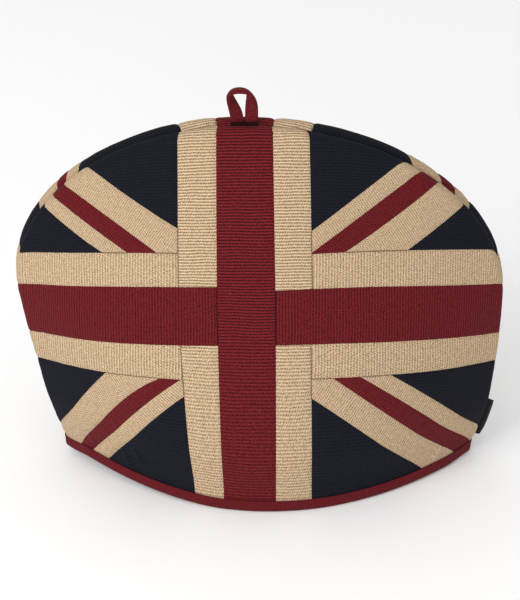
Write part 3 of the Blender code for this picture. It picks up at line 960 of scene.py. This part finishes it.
# %% Make the front and the back panel
def make_panel(name, node, mirrored, places, creases, seed):
    shoulder = BACK_SHOULDER_DEPTH if mirrored else FRONT_SHOULDER_DEPTH
    slants = BACK_SLANT_SEAMS if mirrored else SLANT_SEAMS
    cloth = lay_cloth(name, shoulder, mirrored)
    cut_seams(cloth, slants)
    to_mode("OBJECT")
    patches, seam_points = assign_patches(cloth, slants)
    pad_and_divide(cloth)
    mesh = cloth.data
    flat = read_values(mesh.vertices, "co", width=3).reshape(-1, 3)
    distance, fade = seam_distances(flat[:, :2], seam_points)
    add_values(cloth, "seam_distance", "POINT", distance * fade)
    map_ribs(cloth, flat, patches)
    relief = relief_at(flat[:, :2], distance, BACK_PUCKER if mirrored else FRONT_PUCKER, seed)
    relief += crease_relief(flat[:, :2], creases)
    placed = over_the_form(flat, relief, places, shoulder, mirrored)
    mesh.vertices.foreach_set("co", placed.ravel())
    mesh.attributes.remove(mesh.attributes["patch"])
    for cotton in panel_cottons:
        mesh.materials.append(cotton)
    mesh.update()
    only_active(cloth)
    bpy.ops.object.shade_smooth()
    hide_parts(node)
    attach(cloth, "root")
    print(name, len(patches), "patches")
    return cloth


front_cloth = make_panel("patchwork_front", "front_panel", False, FRONT_SOFT_PLACES, FRONT_CREASES, 3.0)
back_cloth = make_panel("patchwork_back", "back_panel", True, BACK_SOFT_PLACES, (), 14.0)


# %% [markdown]
# ## The bound hem
#
# A strip is folded over the panels' lower edge. It starts as a flat grid: one way runs round the hem and the
# other round the folded section. Moving each point to its place folds it. A curve with a bevel could sweep a
# section too, but it would twist at the two sharp corners.

# %% A grid moved onto rows of points
def grid_over(name, points, length, width):
    """A grid moved onto rows of points, with a UV map in metres. Edges that meet are merged."""
    long, wide = points.shape[0] - 1, points.shape[1] - 1
    bpy.ops.mesh.primitive_grid_add(x_subdivisions=long, y_subdivisions=wide, size=1.0)
    piece = bpy.context.active_object
    piece.name = piece.data.name = name
    for vertex in piece.data.vertices:
        place = points[round((vertex.co.x + 0.5) * long), round((vertex.co.y + 0.5) * wide)]
        vertex.co = (place[0], place[1] - SEAM_FORWARD, place[2])
    for corner in piece.data.uv_layers["UVMap"].data:
        corner.uv = (corner.uv.x * length, corner.uv.y * width)
    to_mode("EDIT")
    bpy.ops.mesh.select_all(action="SELECT")
    bpy.ops.mesh.remove_doubles(threshold=0.00001)
    bpy.ops.mesh.select_mode(type="EDGE")
    bpy.ops.mesh.select_all(action="DESELECT")
    bpy.ops.mesh.select_non_manifold(extend=False)
    bpy.ops.mesh.fill_holes(sides=0)
    bpy.ops.mesh.select_all(action="SELECT")
    bpy.ops.mesh.normals_make_consistent(inside=False)
    to_mode("OBJECT")
    bpy.ops.object.shade_smooth()
    return piece


# %% The way round the hem
HEM_STEP = 0.0022
HEM_SAMPLES = 4001
CORNER_STEPS = 9
TO_THE_BACK = np.array([1.0, -1.0])


def front_hem():
    """Places along the front hem's core line, left to right, and the level ways out."""
    x = np.linspace(dome_x(-1.0, HEM_EDGE_HEIGHT), dome_x(1.0, HEM_EDGE_HEIGHT), HEM_SAMPLES)
    path = columns(x, -core_depth(x, np.full_like(x, HEM_EDGE_HEIGHT), 0.0))
    x = evenly_along(path, HEM_STEP)[:, 0]
    low = np.full_like(x, HEM_EDGE_HEIGHT)
    return columns(x, -core_depth(x, low, 0.0)), unit(face_normal(x, low, 0.0)[:, :2])


def corner_turn(before, after, outward):
    """The ways out round a corner of the hem."""
    shares = np.arange(1, CORNER_STEPS)[:, None] / CORNER_STEPS
    first, second = turn_between(before, outward, shares), turn_between(outward, after, shares)
    return np.concatenate([first, outward[None, :], second])


def hem_round():
    """The hem once round, ending where it began: places on the core line and ways out."""
    path, ways = front_hem()
    right = corner_turn(ways[-1], ways[-1] * TO_THE_BACK, np.array([1.0, 0.0]))
    left = corner_turn(ways[0] * TO_THE_BACK, ways[0], np.array([-1.0, 0.0]))
    right_places, left_places = (np.repeat(path[[end]], len(left), axis=0) for end in (-1, 0))
    places = np.concatenate([path, right_places, path[::-1] * TO_THE_BACK, left_places, path[:1]])
    directions = np.concatenate([ways, right, ways[::-1] * TO_THE_BACK, left, ways[:1]])
    return places, directions


# %% Fold the strip round the hem
# Out from the core line, height, and how freely the strip puckers there. Last comes the panels' slot.
BINDING_SECTION = (
    (0.0053, 0.0100, 0.0), (0.0055, 0.0107, 0.3), (0.0059, 0.0109, 0.5),
    (0.0063, 0.0105, 0.7), (0.0065, 0.0095, 0.9), (0.0067, 0.0080, 1.0),
    (0.0068, 0.0062, 1.0), (0.0068, 0.0042, 1.0), (0.0065, 0.0024, 0.8),
    (0.0059, 0.0010, 0.4), (0.0050, 0.0002, 0.1), (0.0042, 0.0000, 0.0),
    (0.0026, 0.0000, 0.0), (0.0019, 0.0002, 0.1), (0.0011, 0.0010, 0.4),
    (0.0006, 0.0024, 0.8), (0.0004, 0.0042, 1.0), (0.0004, 0.0062, 1.0),
    (0.0004, 0.0080, 1.0), (0.0005, 0.0095, 0.8), (0.0007, 0.0105, 0.5),
    (0.0010, 0.0108, 0.3), (0.0014, 0.0100, 0.0), (0.0015, 0.0058, 0.0),
    (0.0015, 0.0015, 0.0), (0.0053, 0.0015, 0.0), (0.0053, 0.0058, 0.0),
    (0.0053, 0.0100, 0.0),
)
# The row along which the strip's length is measured.
MEASURED_ROW = 6
SLOT_HALF_WIDTH = 0.0053
BINDING_PUCKER = 0.00028
BINDING_PUCKER_LENGTH = 0.0060
BINDING_PUCKER_CLOSENESS = 160.0
# The strip is narrower at the left corner and pressed flat at both, from these shares of the way across.
BINDING_LEFT_NARROWING = 0.12
NARROWING_START = 0.82
BINDING_END_PRESS = 0.55
PRESS_START = 0.86
# Far enough from a seam to have none of its shade.
OPEN_CLOTH = 0.0030
BINDING_RIB_SHOW = 0.10


def fold_binding():
    places, directions = hem_round()
    section = np.array(BINDING_SECTION)
    middle = section[:, 0].mean()
    across = hem_share(places[:, 0])
    end = smooth_step(np.abs(across), PRESS_START, 1.0)
    low = 1.0 - BINDING_LEFT_NARROWING * smooth_step(-across, NARROWING_START, 1.0)
    rows = []
    for number, (place, way) in enumerate(zip(places, directions)):
        along = number % (len(places) - 1) * HEM_STEP / BINDING_PUCKER_LENGTH
        row = []
        for out, height, free in section:
            side, seed = (1.0, 2.0) if out > middle else (-1.0, 7.0)
            pucker = noise.noise((along, height * BINDING_PUCKER_CLOSENESS, seed))
            out += side * BINDING_PUCKER * free * pucker
            out -= BINDING_END_PRESS * end[number] * max(out - SLOT_HALF_WIDTH, 0.0)
            row.append((place[0] + out * way[0], place[1] + out * way[1], height * low[number]))
        rows.append(row)
    points = lifted(np.array(rows))
    binding = grid_over("bound_hem", points, row_length(points[:, MEASURED_ROW]), row_length(points[0]))
    no_seams(binding, OPEN_CLOTH, BINDING_RIB_SHOW)
    # The strip is cut on the slant, so its ribs run at half a right angle.
    for corner in binding.data.uv_layers["UVMap"].data:
        across, up = corner.uv
        corner.uv = ((across + up) * math.sqrt(0.5), (up - across) * math.sqrt(0.5))
    binding.data.materials.append(binding_cotton)
    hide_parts("hem_binding")
    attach(binding, "root")
    print("the binding has", len(binding.data.polygons), "faces")
    return binding, points


bound_hem, hem_points = fold_binding()

# %% [markdown]
# ## The hanging loop
#
# A strip folded to a narrow tape stands in the top seam and turns edge-on over the top. It is again a grid
# moved onto rows of points: a smooth curve through a few stations carries a flat oval section, which turns
# as it goes. Two rows of stitches press it a little.

# %% A smooth route for the tape
TAPE_WIDTH = 0.0100
TAPE_THICKNESS = 0.0036
TAPE_END_THICKNESS = 0.0022
TAPE_CUPPING = 0.22
LOOP_X = -0.0110
# Across from the loop's middle, height over the seam, turn from flat in degrees, share of full thickness.
TAPE_ROUTE = (
    (-0.0066, -0.0008, 0.0, 0.0), (-0.0068, 0.0056, 8.0, 0.6),
    (-0.0078, 0.0112, 22.0, 1.0), (-0.0097, 0.0168, 42.0, 1.0),
    (-0.0116, 0.0222, 60.0, 1.0), (-0.0119, 0.0265, 75.0, 1.0),
    (-0.0086, 0.0289, 84.0, 0.9), (-0.0030, 0.0293, 86.0, 0.9),
    (0.0018, 0.0276, 72.0, 0.9), (0.0037, 0.0232, 48.0, 1.0),
    (0.0042, 0.0176, 24.0, 1.0), (0.0042, 0.0112, 8.0, 1.0),
    (0.0041, 0.0052, 2.0, 0.6), (0.0040, -0.0008, 0.0, 0.0),
)
TAPE_STATIONS = 145
TAPE_SECTION_POINTS = 40
STITCH_PITCH = 0.0026
STITCH_ROW = 0.70
STITCH_ROW_WIDTH = 0.09
STITCH_PRESS = 0.16
STITCH_LEAST = 0.10
# A power below 1 squares the section's oval: across the tape, and through it.
SQUARE_ACROSS = 0.45
SQUARE_THROUGH = 0.60
# The tape is in shade up to a height over the seam, and then less and less.
TAPE_SHADE = 0.0028
TAPE_SHADE_SLOPE = 0.25
TAPE_RIB_SHOW = 0.15
# The station at which the way round its section is measured.
MEASURED_STATION = 20


def smooth_curve(values, along):
    """A smooth curve through evenly spaced values, read at places between them."""
    start = np.clip(np.floor(along).astype(int), 0, len(values) - 2)
    share = along - start
    before = values[np.maximum(start - 1, 0)]
    first = values[start]
    second = values[start + 1]
    after = values[np.minimum(start + 2, len(values) - 1)]
    linear = (second - before) / 2.0
    square = before - 2.5 * first + 2.0 * second - after / 2.0
    cube = (after - before) / 2.0 + 1.5 * (first - second)
    return first + share * (linear + share * (square + share * cube))


def tape_points():
    """Rows of points round the tape's section, along its route."""
    along = np.linspace(0.0, len(TAPE_ROUTE) - 1.0, TAPE_STATIONS)
    across, height, turn, thickness = (smooth_curve(column, along) for column in np.array(TAPE_ROUTE).T)
    height = CROWN_HEIGHT + SHOULDER_INSET + height
    centre = columns(LOOP_X + across, np.zeros_like(across), height)
    tangent = unit(np.gradient(centre, axis=0))
    level = np.array([0.0, 1.0, 0.0])
    in_plane = unit(np.cross(level, tangent))
    turn = np.radians(turn)[:, None]
    wide = np.cos(turn) * in_plane + np.sin(turn) * level
    thin = np.cross(tangent, wide)
    half_wide = TAPE_WIDTH / 2.0 * (1.0 - TAPE_CUPPING * np.sin(turn) ** 2)
    added = (TAPE_THICKNESS - TAPE_END_THICKNESS) * np.clip(thickness, 0.0, 1.0)
    half_thick = (TAPE_END_THICKNESS + added) / 2.0
    travelled = travelled_along(centre)
    stitch_wave = (1.0 + np.cos(2.0 * math.pi * travelled / STITCH_PITCH)) / 2.0
    stitch = STITCH_LEAST + (1.0 - STITCH_LEAST) * stitch_wave
    rim = []
    for angle in np.linspace(0.0, 2.0 * math.pi, TAPE_SECTION_POINTS, endpoint=False):
        side = math.copysign(abs(math.cos(angle)) ** SQUARE_ACROSS, math.cos(angle))
        over = math.copysign(abs(math.sin(angle)) ** SQUARE_THROUGH, math.sin(angle))
        row = math.exp(-(((abs(side) - STITCH_ROW) / STITCH_ROW_WIDTH) ** 2))
        pressed = over * (1.0 - STITCH_PRESS * row * stitch)
        rim.append(centre + side * half_wide * wide + (pressed * half_thick)[:, None] * thin)
    return np.stack(rim + rim[:1], axis=1), travelled[-1]


loop_points, tape_length = tape_points()
hanging_tape = grid_over("hanging_tape", loop_points, tape_length, row_length(loop_points[MEASURED_STATION]))
over_seam = read_values(hanging_tape.data.vertices, "co", width=3)[2::3] - CROWN_HEIGHT - SHOULDER_INSET
no_seams(hanging_tape, np.maximum(over_seam - TAPE_SHADE, 0.0) * TAPE_SHADE_SLOPE, TAPE_RIB_SHOW)
hanging_tape.data.materials.append(tape_cotton)
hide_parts("hanging_loop")
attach(hanging_tape, "root")
print("the tape is", round(tape_length, 4), "m long")

# %% [markdown]
# ## The side label
#
# A short blank ribbon is folded double and caught in the side seam, with its fold outwards. It curls back,
# most at its lower end.

# %% Fold the ribbon
LABEL_LOW = 0.0165
LABEL_HIGH = 0.0535
LABEL_CLOTH = 0.0008
LABEL_FOLD_GAP = 0.0004
LABEL_REACH = 0.0085
LABEL_CLEARANCE = 0.0014
# How far the ribbon has turned back at its fold, in degrees, from its lower end to its upper one.
LABEL_CURL = (172.0, 122.0, 94.0, 80.0)
LABEL_STATIONS = 31
LABEL_ROOT = -0.0022
LABEL_STEPS = 8
FOLD_ANGLES = 9
# How far the ribbon sinks for its way out from the seam, and for its way back.
DROP_OUT = 0.45
DROP_BACK = 0.60


def rise_at(height):
    """The share of the rise at which the edge line reaches a height."""
    return math.asin((height - HEM_EDGE_HEIGHT) / (CROWN_HEIGHT - HEM_EDGE_HEIGHT)) * 2.0 / math.pi


def ribbon_section():
    """The folded ribbon's section once round: out from its root and to either side."""
    slot = LABEL_FOLD_GAP / 2.0
    half = LABEL_CLOTH + slot
    centre = LABEL_REACH - half
    outwards = np.linspace(LABEL_ROOT, centre, LABEL_STEPS)
    inwards = np.linspace(centre, LABEL_ROOT, LABEL_STEPS)
    bend = np.radians(np.linspace(-90.0, 90.0, FOLD_ANGLES)[1:-1])
    outer = [(out, -half) for out in outwards]
    outer.extend((centre + half * math.cos(angle), half * math.sin(angle)) for angle in bend)
    outer.extend((out, half) for out in inwards)
    inner = [(out, slot) for out in outwards]
    inner.append((centre + slot, 0.0))
    inner.extend((out, -slot) for out in inwards)
    return [*outer, *inner, outer[0]]


def fold_label():
    rows = []
    for height in np.linspace(LABEL_LOW, LABEL_HIGH, LABEL_STATIONS):
        up = (height - LABEL_LOW) / (LABEL_HIGH - LABEL_LOW)
        outward = edge_outward(np.ones(1), np.array([rise_at(height)]))[0]
        start = np.array([float(dome_x(1.0, np.array(height))), 0.0, height])
        start = start + outward * (SHOULDER_INSET + LABEL_CLEARANCE)
        curl = smooth_curve(np.array(LABEL_CURL), np.array([up * (len(LABEL_CURL) - 1)]))[0]
        turned = math.radians(curl) / LABEL_REACH
        row = []
        for out, over in ribbon_section():
            angle = turned * max(out, 0.0)
            along = math.sin(angle) / turned if out > 0.0 else out
            back = (1.0 - math.cos(angle)) / turned + over * math.cos(angle)
            drop = DROP_OUT * max(along, 0.0) + DROP_BACK * back
            row.append(start + (along - over * math.sin(angle)) * outward + np.array([0.0, back, -drop]))
        rows.append(row)
    points = lifted(np.array(rows))
    return grid_over("side_ribbon", points, row_length(points[:, 0]), row_length(points[0]))


side_ribbon = fold_label()


# %% Ribbon satin
SATIN_PITCH = 0.0008
SATIN_HEIGHT = 0.00008
WORN_SCALE = 220.0


def ribbon_satin(name, colour):
    """A close woven ribbon with a slight sheen, its threads across the ribbon."""
    cloth, tree, shader = new_cloth(name, 0.70, 0.06)
    mapped, along_ribbon, _over = cloth_place(tree)
    thread = wave(tree, maths(tree, "MULTIPLY", along_ribbon, 2.0 * math.pi / SATIN_PITCH))
    worn = noise_at(tree, mapped, WORN_SCALE, 3.0)
    share = maths(tree, "MULTIPLY_ADD", thread, 0.4, maths(tree, "MULTIPLY", worn, 0.6))
    colour = blend_colours(tree, share, scaled(colour, 0.5), colour)
    show_cloth(tree, shader, colour, maths(tree, "MULTIPLY", thread, SATIN_HEIGHT))
    return cloth


side_ribbon.data.materials.append(ribbon_satin("ribbon_satin", (0.0045, 0.0050, 0.0080)))
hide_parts("side_label")
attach(side_ribbon, "root")
print("the label is", len(side_ribbon.data.polygons), "faces")

# %% [markdown]
# ## Floor, light and camera
#
# White light comes from all round. A large soft light from the upper left shapes the cosy, and a weak one in
# front opens the shadows. A small lamp would draw hard ones. The camera looks down through a long lens.

# %% Floor
bpy.ops.mesh.primitive_plane_add(size=6.0, location=(0.0, 0.0, 0.0))
floor = bpy.context.active_object
floor.name = "floor"
pale = bpy.data.materials.new("pale_floor")
pale.use_nodes = True
pale_shader = pale.node_tree.nodes["Principled BSDF"]
pale_shader.inputs["Base Color"].default_value = (0.96, 0.96, 0.96, 1.0)
pale_shader.inputs["Roughness"].default_value = 0.9
floor.data.materials.append(pale)

# %% Light
bpy.context.scene.view_settings.view_transform = "Standard"
world = bpy.data.worlds.new("studio")
bpy.context.scene.world = world
world.use_nodes = True
around = world.node_tree.nodes["Background"]
around.inputs["Color"].default_value = (1.0, 1.0, 1.0, 1.0)
around.inputs["Strength"].default_value = 0.84


def soft_light(name, place, towards, size, power):
    """A square area light at a place, facing another."""
    bpy.ops.object.light_add(type="AREA", location=place)
    lamp = bpy.context.active_object
    lamp.name = name
    lamp.data.size = size
    lamp.data.energy = power
    way = Vector(towards) - Vector(place)
    lamp.rotation_euler = way.to_track_quat("-Z", "Y").to_euler()


soft_light("key_light", (-1.3, -1.3, 1.5), (0.0, 0.0, 0.13), 1.1, 22.0)
soft_light("fill_light", (-0.3, -1.9, 0.35), (0.0, 0.0, 0.08), 0.9, 7.0)

# %% Camera
LOOK_AT = Vector((-0.0005, -0.0017, 0.1489))
CAMERA_ELEVATION = math.radians(32.0)
CAMERA_DISTANCE = 1.5
bpy.ops.object.camera_add()
camera = bpy.context.active_object
away_from_cosy = Vector((0.0, -math.cos(CAMERA_ELEVATION), math.sin(CAMERA_ELEVATION)))
camera.location = LOOK_AT + away_from_cosy * CAMERA_DISTANCE
camera.rotation_euler = (-away_from_cosy).to_track_quat("-Z", "Y").to_euler()
camera.data.lens = 112.5
camera.data.sensor_width = 36.0
bpy.context.scene.camera = camera
